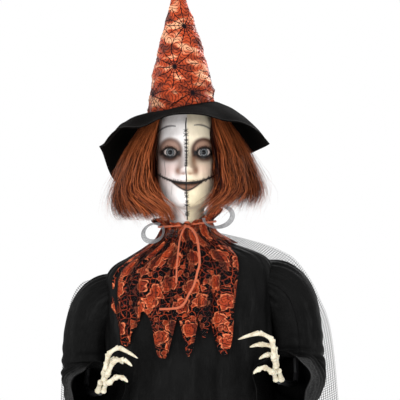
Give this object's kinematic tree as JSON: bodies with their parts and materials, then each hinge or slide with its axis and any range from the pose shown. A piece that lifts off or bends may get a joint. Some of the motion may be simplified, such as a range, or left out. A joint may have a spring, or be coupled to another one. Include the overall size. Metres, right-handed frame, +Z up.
{
  "type": "animated witch figure",
  "caption": "Life-size standing witch decoration with a stitched mask face, pointed hat, lace collar, robe, turning head and hinged skeleton-handed arms.",
  "frame": {"origin": "centre of the base plate's flat underside, on the floor", "axes": "+Z up the pole, the figure faces -Y, +X to the figure's own left"},
  "size_m": [0.611, 0.4321, 1.7],
  "materials": {
    "black_steel": "satin",
    "zinc_steel": "satin",
    "black_plastic": "matte",
    "gear_plastic": "satin",
    "board_green": "satin",
    "speaker_grey": "matte",
    "cell_wrap": "gloss",
    "button_red": "gloss",
    "mask_paint": "satin",
    "eye_white": "gloss",
    "led_clear": "gloss",
    "lead_black": "satin",
    "bone_plastic": "satin",
    "black_cloth": "matte",
    "black_felt": "matte",
    "orange_lame": "gloss",
    "rose_lace": "matte",
    "auburn_hair": "satin",
    "orange_cord": "matte",
    "grey_gauze": "matte"
  },
  "bodies": {
    "stand": {"base_plate": "black_steel", "base_socket": "black_steel", "lower_pole": "black_steel", "upper_pole": "black_steel", "pole_coupler": "black_steel", "shoulder_bar": "black_steel", "socket_bolt_1": "zinc_steel", "socket_bolt_2": "zinc_steel", "socket_bolt_3": "zinc_steel", "case_screw_1": "zinc_steel", "case_screw_2": "zinc_steel", "case_screw_3": "zinc_steel", "case_screw_4": "zinc_steel", "pivot_bolt_left": "zinc_steel", "pivot_bolt_right": "zinc_steel", "gear_motor": "zinc_steel", "socket_thumb_screw": "black_plastic", "case_front": "black_plastic", "case_rear": "black_plastic", "mechanism_frame": "black_plastic", "neck_bearing": "gear_plastic", "circuit_board": "board_green", "speaker": "speaker_grey", "battery_1": "cell_wrap", "battery_2": "cell_wrap", "battery_3": "cell_wrap", "robe": "black_cloth", "lace_collar": "rose_lace", "neck_cord": "orange_cord", "cord_tail_long": "orange_cord", "cord_tail_short": "orange_cord", "bow_loop_left": "grey_gauze", "bow_loop_right": "grey_gauze", "tulle_cape": "grey_gauze"},
    "head": {"neck_shaft": "zinc_steel", "head_gear": "gear_plastic", "head_plate": "black_plastic", "face_mask": "mask_paint", "rear_head_shell": "black_plastic", "head_screw_1": "zinc_steel", "head_screw_2": "zinc_steel", "eye_left": "eye_white", "eye_right": "eye_white", "eye_led_left": "led_clear", "eye_led_right": "led_clear", "eye_led_lead": "lead_black", "wig": "auburn_hair", "hat_brim": "black_felt", "hat_crown": "orange_lame"},
    "motor_drive": {"motor_gear": "gear_plastic"},
    "arm_left": {"arm_tube_left": "black_steel", "hand_left": "bone_plastic", "sleeve_left": "black_cloth"},
    "arm_right": {"arm_tube_right": "black_steel", "hand_right": "bone_plastic", "sleeve_right": "black_cloth"},
    "battery_door": {"battery_door": "black_plastic"},
    "power_switch": {"power_switch": "black_plastic"},
    "test_button": {"test_button": "button_red"}
  },
  "joints": [
    {"name": "head_turn", "type": "hinge", "parent": "stand", "child": "head", "pos_m": [0, 0, 1.1], "axis": [0, 0, 1], "range_deg": [-35, 35]},
    {"name": "motor_spin", "type": "hinge", "parent": "stand", "child": "motor_drive", "pos_m": [0.03, 0, 1.08], "axis": [0, 0, 1], "range_deg": [-105, 105]},
    {"name": "arm_left_lift", "type": "hinge", "parent": "stand", "child": "arm_left", "pos_m": [0.19, 0.018, 1.062], "axis": [-1, 0, 0], "range_deg": [0, 35]},
    {"name": "arm_right_lift", "type": "hinge", "parent": "stand", "child": "arm_right", "pos_m": [-0.172, 0.018, 1.035], "axis": [-1, 0, 0], "range_deg": [0, 35]},
    {"name": "battery_door_slide", "type": "slide", "parent": "stand", "child": "battery_door", "axis": [0, 0, -1], "range_m": [0, 0.045]},
    {"name": "power_switch_slide", "type": "slide", "parent": "stand", "child": "power_switch", "axis": [1, 0, 0], "range_m": [0, 0.005]},
    {"name": "test_button_press", "type": "slide", "parent": "stand", "child": "test_button", "axis": [0, -1, 0], "range_m": [0, 0.002], "stiffness_N_per_m": 300}
  ],
  "couplings": [
    {"joint": "motor_spin", "follows": "head_turn", "ratio": -3}
  ]
}
